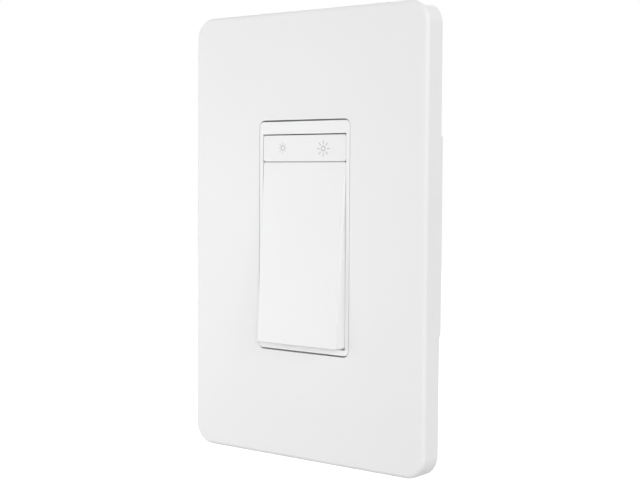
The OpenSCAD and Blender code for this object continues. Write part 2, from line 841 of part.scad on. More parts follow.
module triac_pad() {
    half = triac_w / 2 + 0.4;
    color([0.6, 0.62, 0.65])
    block([-half, 0, triac_z - triac_h / 2 - 0.2], [half, pad_t, triac_z + triac_h / 2 + 0.2]);
}

module choke_core() {
    color([0.35, 0.36, 0.33])
    translate([choke_x, power_back_y + 1, choke_z])
        rotate([-90, 0, 0])
            rotate_extrude()
                translate([choke_bore + choke_skin, 0])
                    square([choke_r - choke_bore - 2 * choke_skin, choke_depth]);
}

// The winding is one solid round the core, grooved between its turns.
module choke_winding() {
    color([0.72, 0.38, 0.16])
    translate([choke_x, power_back_y, choke_z])
        rotate([-90, 0, 0])
            difference() {
                rotate_extrude()
                    translate([choke_bore, 0])
                        square([choke_r - choke_bore, choke_depth + 2]);
                rotate_extrude()
                    translate([choke_bore + choke_skin, 1])
                        square([choke_r - choke_bore - 2 * choke_skin, choke_depth]);
                for (a = [0:20:359])
                    rotate([0, 0, a])
                        translate([choke_r, 0, -through])
                            cylinder(r = 0.35, h = choke_depth + 3, $fn = 16);
            }
}

module film_capacitor() {
    color([0.85, 0.65, 0.12])
    block([board_left + 1.5, power_back_y, film_top - film_h],
        [choke_x - choke_r - film_gap, part_back_y, film_top]);
}

module electrolytic_capacitors() {
    color([0.1, 0.14, 0.3])
    for (z = CAN_Z)
        difference() {
            rod_y(can_x, z, can_r, power_back_y, part_back_y);
            // Groove that holds the can's rubber foot.
            translate([can_x, power_back_y + 1.4, z])
                rotate([-90, 0, 0])
                    rotate_extrude()
                        translate([can_r, 0])
                            circle(0.35, $fn = 12);
        }
}

module transformer_core() {
    color([0.22, 0.22, 0.23])
    difference() {
        block([core_left, power_back_y, core_low], [core_left + core_w, part_back_y, core_low + core_h]);
        block([core_left + 2, power_back_y + core_t, core_low - through],
            [core_left + core_w - 2, part_back_y - core_t, core_low + core_h + through]);
    }
}

module transformer_coil() {
    color([0.86, 0.72, 0.2])
    block([core_left + 2, power_back_y + core_t, core_low + coil_inset],
        [core_left + core_w - 2, part_back_y - core_t, core_low + core_h - coil_inset]);
}

module varistor() {
    color([0.1, 0.3, 0.65])
    rod_y(varistor_x, varistor_z, varistor_r, power_back_y, power_back_y + varistor_d);
}

module fuse() {
    color([0.25, 0.25, 0.26])
    rod_y(fuse_x, fuse_z, fuse_r, power_back_y, power_back_y + fuse_d);
}

module bridge_rectifier() {
    left = board_left + 1.5;
    color(BLACK)
    block([left, power_back_y, rectifier_low],
        [left + rectifier_w, power_back_y + rectifier_d, rectifier_low + rectifier_h]);
}

// Outer form of the rear housing: a rod at each corner as far as the ribs reach and a ball at each
// back corner, joined by one hull. The balls stand in by the draft.
module housing_form() {
    hull()
        for (x = [-1, 1])
            for (z = [-1, 1]) {
                rod_y(x * (housing_w / 2 - housing_r), z * (housing_h / 2 - housing_r), housing_r, 0, rib_d,
                    $fn = 24);
                translate([x * (housing_w / 2 - housing_r - housing_draft), housing_d - housing_r,
                    z * (housing_h / 2 - housing_r - housing_draft)])
                    sphere(housing_r, $fn = 24);
            }
}

// Ribs that part the terminals on the two sides of the housing.
module side_ribs() {
    apart = terminal_z + terminal_w / 2 + pocket_t + rib_t;
    for (side = [-1, 1])
        for (z = [-apart, 0, apart])
            block([side > 0 ? housing_w / 2 - housing_wall / 2 : -housing_w / 2 - rib_h, 1, z - rib_t / 2],
                [side > 0 ? housing_w / 2 + rib_h : -housing_w / 2 + housing_wall / 2, rib_d, z + rib_t / 2]);
}

// Places a child at each terminal; the child's +Z then points out of the housing's side.
module at_terminals(sides, reach) {
    for (side = sides)
        for (z = [-terminal_z, terminal_z])
            translate([side * reach, terminal_y, z])
                rotate([0, side * 90, 0])
                    children();
}

module rear_housing() {
    color(BLACK)
    difference() {
        union() {
            difference() {
                housing_form();
                block([-cavity_w / 2, -through, -cavity_h / 2],
                    [cavity_w / 2, housing_d - housing_wall, cavity_h / 2]);
            }
            side_ribs();
            // Walls round each terminal pocket.
            at_terminals([-1, 1], pocket_x - pocket_t)
                translate([-terminal_w / 2 - pocket_t, -terminal_d / 2 - pocket_t, 0])
                    cube([terminal_w + 2 * pocket_t, terminal_d + 2 * pocket_t,
                        housing_w / 2 - housing_wall / 2 - pocket_x + pocket_t]);
            // Posts for the long screws.
            for (p = LONG_SCREWS)
                rod_y(p[0], p[1], post_r, 0, housing_d - 1);
            // Ledges under the power board.
            for (x = [-1, 1])
                for (z = [-1, 1])
                    translate([x * (cavity_w / 2 - 1.4), (power_back_y + housing_d - 1) / 2, z * (cavity_h / 2 - 1.4)])
                        cube([2.8 + slack, housing_d - 1 - power_back_y, 2.8 + slack], center = true);
        }
        at_terminals([-1, 1], pocket_x)
            translate([-terminal_w / 2, -terminal_d / 2, 0])
                cube([terminal_w, terminal_d, housing_w]);
        for (p = LONG_SCREWS) {
            rod_y(p[0], p[1], long_screw_r + 0.15, -through, housing_d + through);
            rod_y(p[0], p[1], 2.1, housing_d - 1.8, housing_d + through);
        }
        // Groove that shows how far a wire is stripped.
        translate([0, housing_d, housing_h / 2 - gauge_drop])
            cube([gauge_w, 2 * gauge_d, gauge_h], center = true);
        // Vents across the back.
        for (z = [-vent_reach:vent_step:vent_reach])
            translate([0, housing_d, z])
                cube([vent_w, 2 * housing_wall + 1, vent_h], center = true);
    }
}

// Long screws from the housing's back into the bezel.
module housing_screws() {
    color(STEEL)
    for (p = LONG_SCREWS) {
        tip_y = p[1] < 0 ? floor_y - 1.4 : strap_y - 3.6;
        difference() {
            union() {
                rod_y(p[0], p[1], long_screw_r, tip_y, housing_d - 1);
                rod_y(p[0], p[1], 2, housing_d - 1.8, housing_d - 0.3);
            }
            translate([p[0], housing_d, p[1]])
                for (a = [0, 90])
                    rotate([0, a, 0])
                        cube([2.4, 1.8, 0.6], center = true);
        }
    }
}

// Brass plates on the pocket floors, each with a turned-up edge and a tapped hole.
module terminal_plates() {
    color([0.78, 0.62, 0.3])
    at_terminals([-1, 1], pocket_x)
        difference() {
            union() {
                translate([-terminal_w / 2 + 0.2, -terminal_d / 2 + 0.2, 0])
                    cube([terminal_w - 0.4, terminal_d - 0.4, clamp_t]);
                translate([-terminal_w / 2 + 0.2, -terminal_d / 2 + 0.2, 0])
                    cube([0.8, terminal_d - 0.4, clamp_t + 1.6]);
            }
            translate([screw_shift, 0, -through])
                cylinder(r = screw_r + slack, h = clamp_t + 2 * through);
        }
}

// A binding-head terminal screw, backed off so that a wire can go under its head.
module binding_screw() {
    difference() {
        union() {
            cylinder(r = screw_r, h = clamp_t + 2);
            translate([0, 0, clamp_t + 1.9])
                cylinder(r = terminal_head_r, h = terminal_head_h);
        }
        translate([0, 0, clamp_t + 1.9 + terminal_head_h])
            slotted_head(terminal_head_r);
    }
}

module hot_terminal_screws() {
    color([0.8, 0.64, 0.28])
    at_terminals([1], pocket_x)
        translate([screw_shift, 0, 0])
            binding_screw();
}

module neutral_terminal_screws() {
    color(STEEL)
    at_terminals([-1], pocket_x)
        translate([screw_shift, 0, 0])
            binding_screw();
}

module ground_screw() {
    color([0.15, 0.5, 0.25])
    translate([ground_x, ground_tab_d - 4.2, -strap_h / 2 + strap_t + 0.3])
        rotate([180, 0, 0])
            difference() {
                union() {
                    cylinder(r = screw_r, h = strap_t + 2.2);
                    translate([0, 0, strap_t + 2.1])
                        cylinder(r = 3.6, h = 2, $fn = 6);
                }
                translate([0, 0, strap_t + 4.1])
                    slotted_head(3.6);
            }
}

cover_plate();
mounting_plate();
plate_screws();
strap();
box_screws();
bezel();
paddle();
paddle_springs();
dimmer_bar();
paddle_switch();
dim_switch();
bright_switch();
paddle_switch_stem();
dim_switch_stem();
bright_switch_stem();
control_board();
board_spacers();
insulator_sheet();
radio_board();
radio_shield();
processor();
board_header();
power_board();
triac();
triac_pad();
choke_core();
choke_winding();
film_capacitor();
electrolytic_capacitors();
transformer_core();
transformer_coil();
varistor();
fuse();
bridge_rectifier();
rear_housing();
housing_screws();
terminal_plates();
hot_terminal_screws();
neutral_terminal_screws();
ground_screw();
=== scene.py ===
"""Finish, fine shapes, light and camera for the smart dimmer switch.

Metres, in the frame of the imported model: X runs to the right, Y into the wall and Z up. The wall
plane is y = 0, and the front of the cover plate lies at a negative y.
"""
import json
from math import cos, pi, radians, sin

import bmesh
import bpy
import numpy as np
from mathutils import Matrix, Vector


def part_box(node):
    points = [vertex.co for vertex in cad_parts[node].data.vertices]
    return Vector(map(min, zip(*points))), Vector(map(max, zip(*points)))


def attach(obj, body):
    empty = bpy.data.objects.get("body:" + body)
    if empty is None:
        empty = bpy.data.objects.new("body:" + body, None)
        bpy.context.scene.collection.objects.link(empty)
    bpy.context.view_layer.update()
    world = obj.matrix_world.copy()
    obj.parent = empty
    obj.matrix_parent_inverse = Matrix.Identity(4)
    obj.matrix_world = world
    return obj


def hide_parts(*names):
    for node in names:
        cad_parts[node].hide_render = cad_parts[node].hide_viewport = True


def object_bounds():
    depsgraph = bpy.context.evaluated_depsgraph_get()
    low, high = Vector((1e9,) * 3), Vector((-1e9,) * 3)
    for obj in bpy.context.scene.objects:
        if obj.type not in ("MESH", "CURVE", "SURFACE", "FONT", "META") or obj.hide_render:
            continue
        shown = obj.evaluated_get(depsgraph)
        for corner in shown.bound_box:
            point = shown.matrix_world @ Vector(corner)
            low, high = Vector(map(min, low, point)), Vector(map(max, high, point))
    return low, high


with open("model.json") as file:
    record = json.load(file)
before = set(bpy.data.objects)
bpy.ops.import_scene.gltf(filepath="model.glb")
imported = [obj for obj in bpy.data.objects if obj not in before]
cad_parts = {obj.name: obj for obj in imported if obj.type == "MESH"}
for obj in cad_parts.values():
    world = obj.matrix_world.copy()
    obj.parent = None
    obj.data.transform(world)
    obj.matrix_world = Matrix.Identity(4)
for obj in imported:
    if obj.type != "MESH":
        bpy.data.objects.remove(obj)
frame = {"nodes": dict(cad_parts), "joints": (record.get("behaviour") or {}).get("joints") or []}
cad_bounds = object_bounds()

MM = 0.001
NODES = frame["nodes"]
JOINTS = {joint["name"]: joint for joint in frame["joints"]}

# The camera, as the photograph was taken
CAMERA_PLACE = (0.23526, -0.2947, 0.01696)
CAMERA_YAW = -38.598
CAMERA_PITCH = 2.753
CAMERA_ROLL = 0.398
CAMERA_LENS = 73.126
SENSOR_WIDTH = 36

# Stage and light
FLOOR_DROP = 0.2
FLOOR_SIZE = 6
FLOOR_COLOUR = (0.42, 0.42, 0.42)
FLOOR_LIFT = 0.87
FLOOR_NEAR = 0.35
FLOOR_FAR = 1.2
AMBIENT = 0.408
LAMPS = {
    "close_left": ((-0.18, -0.2, -0.01), 0.15, 0.1),
    "near_left": ((-0.4, -0.4, 0.0), 0.35, 0.3),
    "left_side": ((-1.4, -0.3, 0.1), 0.8, 1.85),
    "front": ((0.0, -1.6, 0.0), 0.8, 4.0),
    "right_front": ((1.1, -1.1, 0.3), 0.8, 7.7),
    "right_graze": ((1.5, -0.4, 0.6), 0.15, 4.7),
    "rear_right": ((0.9, 0.5, 0.5), 0.8, 1.95),
    "rear_left": ((-0.7, 1.2, 0.7), 0.8, 5.0),
}

# Cover plate
COVER_WALL = 1.9 * MM
COVER_INNER_ROUND = 0.5 * MM
COVER_CORNER = 6.2 * MM
COVER_EDGE = 1.2 * MM
OPENING_SIZE = (33.3 * MM, 66.8 * MM)
OPENING_CORNER = 2 * MM
OPENING_LIP = 0.3 * MM
OPENING_MARKS = (0.5, 0.55)
SKIRT_RELIEF = 0.7 * MM
SKIRT_LAND = 54.2 * MM
LAND_RISE = 1.2 * MM
SKIRT_STEP = 0.5 * MM
SKIRT_LIP = 0.15 * MM
PRY_HALF = 4 * MM
PRY_DEPTH = 1.2 * MM
SNAP_GROOVE = 0.5 * MM
SNAP_HALF = 5.2 * MM
SNAP_DEPTH = 5.0 * MM
SNAP_WIDTH = 1.1 * MM
SNAP_SHARE_X = 0.26
SNAP_SHARE_Z = 0.36

# How near counts as on a line, and how far past an end a step has wholly changed
ON_LINE = 1e-7
STEP_WITHIN = 1.01
STEP_PAST = 1.02

# Paddle and dimmer bar
CONTROL_WALL = 1.4 * MM
CONTROL_CORNER = 0.8 * MM
CONTROL_LIP = 0.1 * MM
HOLLOW_CORNER = 0.4 * MM
WALL_HOLD = 0.4 * MM
PADDLE_EDGE = 0.45 * MM
BAR_EDGE = 0.3 * MM
PADDLE_SINK = 0.1 * MM
PADDLE_TRAVEL = radians(2)
SKIRT_GAP_TOP = 0.45 * MM
SKIRT_GAP_BOTTOM = 0.25 * MM
PIN_RADIUS = 0.9 * MM
PIN_LENGTH = 0.8 * MM
SPRING_X = 6.5 * MM
SPRING_RISE = 11.9 * MM
PEG_RADIUS = 1.5 * MM
PEG_HEIGHT = 1.4 * MM
PEG_CHAMFER = 0.2 * MM
RIB_RISE = 9 * MM
RIB_STEP = 8 * MM
RIB_DEPTH = 1.4 * MM
RIB_THICKNESS = 1 * MM
SWITCH_X = 7 * MM
PADDLE_SWITCH_DROP = 10 * MM
POST_RADIUS = 1.5 * MM
POST_CHAMFER = 0.15 * MM
POST_TIP = 0.8 * MM
POST_TIP_LENGTH = 0.5 * MM
POST_TIP_HOLD = 0.2 * MM
TOUCH_GAP = 0.05 * MM
PIN_BACK = 1.3 * MM
BAR_SKIRT_GAP = 0.9 * MM
BAR_END_WALL = 0.5 * MM
BAR_RIB_HALF = 1.6 * MM
BAR_RIB_HOLD = 0.2 * MM
BAR_RIB_ENDS = 4.8 * MM
BAR_PIN_REACH = 1.5 * MM
RING_STEP = 0.01 * MM

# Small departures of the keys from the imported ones: narrower gaps and leaning sides
PACKED_SIDE_GAP = 0.2 * MM
SPREAD = 0.07 * MM
BAR_DROP = 0.11 * MM
PADDLE_TRIM = 0.07 * MM
PADDLE_DRAFT = 0.2

# Printed suns on the dimmer bar
SUN_RING = (0.45 * MM, 0.86 * MM)
SUN_INK = 0.012 * MM
SUN_RAYS = 8
RAY_ROUND = 0.49
DIM_SUN = ((-7.8 * MM, 25.4 * MM), 1.15 * MM, 1.6 * MM, 0.26 * MM)
BRIGHT_SUN = ((7.15 * MM, 25.1 * MM), 1.2 * MM, 2.3 * MM, 0.34 * MM)

# Screw threads
THREAD_PITCH = 0.79 * MM
THREAD_DEPTH = 0.13 * MM
THREAD_HALF = 0.42
THREAD_ROOT = 0.08 * MM
THREAD_LEAST = 0.05
THREAD_START = 1.2 * MM
THREAD_END_GAP = 0.4 * MM
BOX_SHANK_RADIUS = 1.75 * MM
BOX_HEAD_RADIUS = 3.3 * MM

# Steps of the curved surfaces
CORNER_STEPS = 10
EDGE_STEPS = 8
EASE_STEPS = 7
SUN_STEPS = 40
THREAD_STEPS = 20

# Modifiers on the pieces from the model
WELD_REACH = 0.002 * MM
FLAT_ANGLE = radians(0.5)
CREASE_ANGLE = radians(32)
BEVEL_ANGLE = radians(40)


# Camera, floor and light

def set_camera():
    """Turns the world about Z, then X, then Y into the view, and lets the lens look along it."""
    view = (
        Matrix.Rotation(radians(CAMERA_ROLL), 3, "Y")
        @ Matrix.Rotation(radians(CAMERA_PITCH), 3, "X")
        @ Matrix.Rotation(radians(CAMERA_YAW), 3, "Z")
    )
    rotation = (Matrix.Rotation(radians(-90), 3, "X") @ view).transposed()
    data = bpy.data.cameras.new("camera")
    data.lens = CAMERA_LENS
    data.sensor_width = SENSOR_WIDTH
    camera = bpy.data.objects.new("camera", data)
    camera.matrix_world = Matrix.Translation(CAMERA_PLACE) @ rotation.to_4x4()
    bpy.context.scene.collection.objects.link(camera)
    bpy.context.scene.camera = camera


def set_floor():
    """A pale floor well below the object. For the camera it is lifted to white where no shadow falls,
    and it is wholly white far off.
    """
    drop = cad_bounds[0][2] - FLOOR_DROP
    half = FLOOR_SIZE / 2
    corners = [(-half, -half, drop), (half, -half, drop), (half, half, drop), (-half, half, drop)]
    mesh = bpy.data.meshes.new("floor")
    mesh.from_pydata(corners, [], [(0, 1, 2, 3)])
    floor = bpy.data.objects.new("floor", mesh)
    bpy.context.scene.collection.objects.link(floor)
    material = bpy.data.materials.new("pale_floor")
    material.use_nodes = True
    tree = material.node_tree
    shader = tree.nodes["Principled BSDF"]
    shader.inputs["Base Color"].default_value = (*FLOOR_COLOUR, 1)
    shader.inputs["Roughness"].default_value = 0.9
    shader.inputs["Emission Color"].default_value = (1, 1, 1, 1)
    place = add(tree, "ShaderNodeTexCoord").outputs["Object"]
    distance = add(tree, "ShaderNodeVectorMath", {0: place}, operation="LENGTH")
    fade = add(
        tree, "ShaderNodeMapRange",
        {"Value": distance.outputs["Value"], "From Min": FLOOR_NEAR, "From Max": FLOOR_FAR,
         "To Min": FLOOR_LIFT, "To Max": 1.0},
    )
    lift = add(
        tree, "ShaderNodeMath", {0: seen_directly(tree), 1: fade.outputs[0]}, operation="MULTIPLY",
    )
    tree.links.new(lift.outputs[0], shader.inputs["Emission Strength"])
    mesh.materials.append(material)


def seen_directly(tree):
    """One for rays from the camera, off gloss or through glass, and nought for light on a surface."""
    path = add(tree, "ShaderNodeLightPath")
    both = add(
        tree, "ShaderNodeMath",
        {0: path.outputs["Is Camera Ray"], 1: path.outputs["Is Glossy Ray"]}, operation="ADD",
    )
    every = add(
        tree, "ShaderNodeMath",
        {0: both.outputs[0], 1: path.outputs["Is Transmission Ray"]}, operation="ADD", use_clamp=True,
    )
    return every.outputs[0]


def set_world():
    """White where it is seen, and an even soft light on every surface."""
    world = bpy.data.worlds.new("studio")
    world.use_nodes = True
    tree = world.node_tree
    strength = add(
        tree, "ShaderNodeMapRange",
        {"Value": seen_directly(tree), "To Min": AMBIENT, "To Max": 1.0},
    )
    background = tree.nodes["Background"]
    background.inputs["Color"].default_value = (1, 1, 1, 1)
    tree.links.new(strength.outputs[0], background.inputs["Strength"])
    bpy.context.scene.world = world


def set_lamps():
    """Soft square lamps, each turned towards the middle of the object."""
    for name, (place, size, energy) in LAMPS.items():
        data = bpy.data.lights.new(name, "AREA")
        data.size = size
        data.energy = energy
        lamp = bpy.data.objects.new(name, data)
        lamp.location = place
        away = lamp.location.normalized()
        lamp.rotation_euler = away.to_track_quat("Z", "Y").to_euler()
        bpy.context.scene.collection.objects.link(lamp)


# Node helpers

def add(tree, kind, inputs=None, **settings):
    """One node, with its settings and with each input joined to a socket or given a value."""
    made = tree.nodes.new(kind)
    for key, value in settings.items():
        setattr(made, key, value)
    for key, value in (inputs or {}).items():
        if isinstance(value, bpy.types.NodeSocket):
            tree.links.new(value, made.inputs[key])
        else:
            made.inputs[key].default_value = value
    return made


def effect(name, inputs, outputs):
    """An empty node group with its sockets, and its input and output nodes."""
    tree = bpy.data.node_groups.new(name, "ShaderNodeTree")
    for label, value in inputs.items():
        kind = "NodeSocketVector" if label == "Vector" else "NodeSocketFloat"
        socket = tree.interface.new_socket(label, in_out="INPUT", socket_type=kind)
        if label != "Vector":
            socket.default_value = value
    for label in outputs:
        tree.interface.new_socket(label, in_out="OUTPUT", socket_type="NodeSocketFloat")
    return tree, tree.nodes.new("NodeGroupInput"), tree.nodes.new("NodeGroupOutput")


def moulded_grain():
    """Fine spark-eroded texture: a coarse and a fine noise, summed into a height and a mask."""
    tree, given, made = effect(
        "moulded_grain", {"Vector": None, "Scale": 3000.0, "Fineness": 3.1, "Share": 0.4},
        ["Height", "Mask"],
    )
    coarse = add(
        tree, "ShaderNodeTexNoise",
        {"Vector": given.outputs["Vector"], "Scale": given.outputs["Scale"], "Detail": 2.0},
    )
    scale = add(
        tree, "ShaderNodeMath",
        {0: given.outputs["Scale"], 1: given.outputs["Fineness"]}, operation="MULTIPLY",
    )
    fine = add(
        tree, "ShaderNodeTexNoise",
        {"Vector": given.outputs["Vector"], "Scale": scale.outputs[0], "Detail": 1.0},
    )
    height = add(
        tree, "ShaderNodeMix",
        {"Factor": given.outputs["Share"], "A": coarse.outputs["Fac"], "B": fine.outputs["Fac"]},
    )
    mask = add(
        tree, "ShaderNodeMapRange",
        {"Value": coarse.outputs["Fac"], "From Min": 0.35, "From Max": 0.65},
        interpolation_type="SMOOTHSTEP",
    )
    tree.links.new(height.outputs["Result"], made.inputs["Height"])
    tree.links.new(mask.outputs["Result"], made.inputs["Mask"])
    return tree


def brushed_grain():
    """Long fine scratches: a noise squeezed across the grain and drawn out along it."""
    tree, given, made = effect(
        "brushed_grain", {"Vector": None, "Across": 9000.0, "Along": 90.0}, ["Height", "Mask"],
    )
    split = add(tree, "ShaderNodeSeparateXYZ", {0: given.outputs["Vector"]})
    scaled = []
    for axis, size in (("X", "Across"), ("Y", "Across"), ("Z", "Along")):
        scaled.append(
            add(
                tree, "ShaderNodeMath",
                {0: split.outputs[axis], 1: given.outputs[size]}, operation="MULTIPLY",
            )
        )
    place = add(
        tree, "ShaderNodeCombineXYZ",
        {"X": scaled[0].outputs[0], "Y": scaled[1].outputs[0], "Z": scaled[2].outputs[0]},
    )
    streaks = add(
        tree, "ShaderNodeTexNoise", {"Vector": place.outputs[0], "Scale": 1.0, "Detail": 3.0},
    )
    mask = add(
        tree, "ShaderNodeMapRange",
        {"Value": streaks.outputs["Fac"], "From Min": 0.3, "From Max": 0.7},
    )
    tree.links.new(streaks.outputs["Fac"], made.inputs["Height"])
    tree.links.new(mask.outputs["Result"], made.inputs["Mask"])
    return tree


def slow_drift():
    """Wide soft changes of tone across a surface, as a mask."""
    tree, given, made = effect("slow_drift", {"Vector": None, "Scale": 45.0}, ["Mask"])
    noise = add(
        tree, "ShaderNodeTexNoise",
        {"Vector": given.outputs["Vector"], "Scale": given.outputs["Scale"], "Detail": 2.0},
    )
    mask = add(
        tree, "ShaderNodeMapRange",
        {"Value": noise.outputs["Fac"], "From Min": 0.3, "From Max": 0.7},
        interpolation_type="SMOOTHSTEP",
    )
    tree.links.new(mask.outputs["Result"], made.inputs["Mask"])
    return tree


EFFECTS = {made.name: made for made in (moulded_grain(), brushed_grain(), slow_drift())}


def place_effect(tree, name, vector, **values):
    """One of the shared effects, placed in a material with its own values."""
    node = tree.nodes.new("ShaderNodeGroup")
    node.node_tree = EFFECTS[name]
    tree.links.new(vector, node.inputs["Vector"])
    for key, value in values.items():
        node.inputs[key].default_value = value
    return node


# Finishes

def finish(name, tone, drift_tone, rough, grain="moulded_grain", grain_values=None, bump=0.15,
           bump_height=0.01 * MM, drift_scale=45.0, shader_values=None):
    """A material: two near tones mixed by a slow drift, roughness and bump from its grain."""
    material = bpy.data.materials.new(name)
    material.use_nodes = True
    tree = material.node_tree
    shader = tree.nodes["Principled BSDF"]
    place = add(tree, "ShaderNodeTexCoord").outputs["Object"]
    drift = place_effect(tree, "slow_drift", place, Scale=drift_scale)
    texture = place_effect(tree, grain, place, **(grain_values or {}))
    colour = add(
        tree, "ShaderNodeMix",
        {"Factor": drift.outputs["Mask"], 6: (*tone, 1), 7: (*drift_tone, 1)}, data_type="RGBA",
    )
    roughness = add(
        tree, "ShaderNodeMapRange",
        {"Value": texture.outputs["Mask"], "To Min": rough[0], "To Max": rough[1]},
    )
    relief = add(
        tree, "ShaderNodeBump",
        {"Strength": bump, "Distance": bump_height, "Height": texture.outputs["Height"]},
    )
    tree.links.new(colour.outputs[2], shader.inputs["Base Color"])
    tree.links.new(roughness.outputs[0], shader.inputs["Roughness"])
    tree.links.new(relief.outputs[0], shader.inputs["Normal"])
    for key, value in (shader_values or {}).items():
        shader.inputs[key].default_value = value
    return material


METAL = {"Metallic": 1.0}
FINISHES = {
    "white_cover": finish(
        "white_cover", (0.855, 0.856, 0.859), (0.847, 0.848, 0.852), (0.40, 0.46),
        grain_values={"Scale": 2600.0}, bump=0.12, drift_scale=30.0),
    "white_bezel": finish(
        "white_bezel", (0.885, 0.886, 0.889), (0.877, 0.878, 0.882), (0.38, 0.45),
        grain_values={"Scale": 2600.0}, bump=0.12),
    "white_control": finish(
        "white_control", (0.863, 0.864, 0.868), (0.856, 0.857, 0.861), (0.34, 0.4),
        grain_values={"Scale": 3200.0}, bump=0.1),
    "white_moulding": finish(
        "white_moulding", (0.8, 0.81, 0.82), (0.78, 0.79, 0.8), (0.45, 0.55),
        grain_values={"Scale": 1800.0}, bump=0.2),
    "white_paint": finish(
        "white_paint", (0.82, 0.82, 0.82), (0.78, 0.78, 0.78), (0.3, 0.4),
        grain_values={"Scale": 4000.0}, bump=0.1),
    "strap_steel": finish(
        "strap_steel", (0.42, 0.43, 0.44), (0.35, 0.36, 0.38), (0.28, 0.42), grain="brushed_grain",
        bump=0.2, bump_height=0.004 * MM, drift_scale=120.0, shader_values=METAL),
    "screw_steel": finish(
        "screw_steel", (0.38, 0.38, 0.39), (0.3, 0.3, 0.31), (0.22, 0.35),
        grain_values={"Scale": 5000.0}, bump=0.1, shader_values=METAL),
    "black_moulding": finish(
        "black_moulding", (0.02, 0.02, 0.022), (0.028, 0.028, 0.03), (0.4, 0.55),
        grain_values={"Scale": 3000.0}, bump=0.2),
    "circuit_board": finish(
        "circuit_board", (0.02, 0.13, 0.06), (0.03, 0.17, 0.08), (0.25, 0.4),
        grain_values={"Scale": 2500.0}, bump=0.25, drift_scale=300.0),
    "fish_paper": finish(
        "fish_paper", (0.55, 0.5, 0.34), (0.48, 0.43, 0.29), (0.6, 0.75),
        grain_values={"Scale": 2000.0}, bump=0.3, drift_scale=200.0),
    "grey_pad": finish(
        "grey_pad", (0.32, 0.34, 0.36), (0.28, 0.3, 0.32), (0.6, 0.8),
        grain_values={"Scale": 2500.0}, bump=0.3),
    "ferrite": finish(
        "ferrite", (0.08, 0.085, 0.08), (0.12, 0.12, 0.115), (0.5, 0.7),
        grain_values={"Scale": 2500.0}, bump=0.4, drift_scale=250.0),
    "copper": finish(
        "copper", (0.72, 0.3, 0.13), (0.6, 0.22, 0.09), (0.2, 0.35), grain="brushed_grain",
        grain_values={"Along": 9000.0, "Across": 500.0}, bump=0.3, shader_values=METAL),
    "yellow_case": finish(
        "yellow_case", (0.75, 0.5, 0.06), (0.68, 0.44, 0.05), (0.3, 0.4),
        grain_values={"Scale": 2000.0}, bump=0.15),
    "blue_case": finish(
        "blue_case", (0.04, 0.12, 0.4), (0.03, 0.1, 0.34), (0.3, 0.45),
        grain_values={"Scale": 2000.0}, bump=0.3),
    "housing_black": finish(
        "housing_black", (0.022, 0.022, 0.024), (0.03, 0.03, 0.032), (0.45, 0.62),
        grain_values={"Scale": 1500.0}, bump=0.45, bump_height=0.03 * MM, drift_scale=60.0),
    "brass": finish(
        "brass", (0.72, 0.55, 0.27), (0.6, 0.44, 0.2), (0.26, 0.42), grain="brushed_grain",
        bump=0.15, bump_height=0.004 * MM, drift_scale=200.0, shader_values=METAL),
    "green_screw": finish(
        "green_screw", (0.03, 0.24, 0.08), (0.02, 0.17, 0.06), (0.25, 0.4),
        grain_values={"Scale": 3000.0}, bump=0.15, shader_values={"Metallic": 0.6}),
}
SUN_GREY = finish(
    "sun_grey", (0.6, 0.602, 0.61), (0.57, 0.572, 0.58), (0.5, 0.6), grain_values={"Scale": 4000.0})


# Shapes

def outline(width, height, radius, marks_x=(), marks_z=()):
    """A rounded rectangle as points (x, z), anticlockwise from its right side: straight sides that
    hold a point at each mark, and quarter circles (cos a, sin a) of the radius at its corners.
    """
    right = width / 2
    top = height / 2
    turn = np.linspace(0, pi / 2, CORNER_STEPS + 1)
    marks_x = np.asarray(marks_x, float)
    marks_z = np.asarray(marks_z, float)
    parts = []
    for index, (side_x, side_z) in enumerate(((1, 1), (-1, 1), (-1, -1), (1, -1))):
        angles = turn + index * pi / 2
        middle = np.array([side_x * (right - radius), side_z * (top - radius)])
        side = (
            np.column_stack([np.full(marks_z.size, right), marks_z]),
            np.column_stack([marks_x[::-1], np.full(marks_x.size, top)]),
            np.column_stack([np.full(marks_z.size, -right), marks_z[::-1]]),
            np.column_stack([marks_x, np.full(marks_x.size, -top)]),
        )[index]
        parts.append(side)
        parts.append(middle + radius * np.column_stack([np.cos(angles), np.sin(angles)]))
    return np.concatenate(parts)


def ring(points, depth):
    """An outline as a ring of points (x, y, z), with its depth as y."""
    depths = np.broadcast_to(depth, (len(points),))
    return np.column_stack([points[:, 0], depths, points[:, 1]])


def quarter(radius, steps=EDGE_STEPS):
    """Pairs (inset, depth) along a quarter circle, from the front face to the side wall."""
    angles = np.linspace(0, pi / 2, steps + 1)
    return np.column_stack([radius * (1 - np.sin(angles)), radius * (1 - np.cos(angles))])


def loft(rings, closed=False):
    """A shell through rings of equally many points: quads between neighbours, and either a last
    band back to the first ring or a flat end on the first and on the last ring.
    """
    rows, columns = rings.shape[:2]
    index = np.arange(rows * columns).reshape(rows, columns)
    start = index if closed else index[:-1]
    end = np.roll(index, -1, axis=0) if closed else index[1:]
    quads = np.stack([start, np.roll(start, -1, axis=1), np.roll(end, -1, axis=1), end], axis=-1)
    faces = quads.reshape(-1, 4).tolist()
    if not closed:
        faces.append(index[0, ::-1].tolist())
        faces.append(index[-1].tolist())
    return rings.reshape(-1, 3), faces


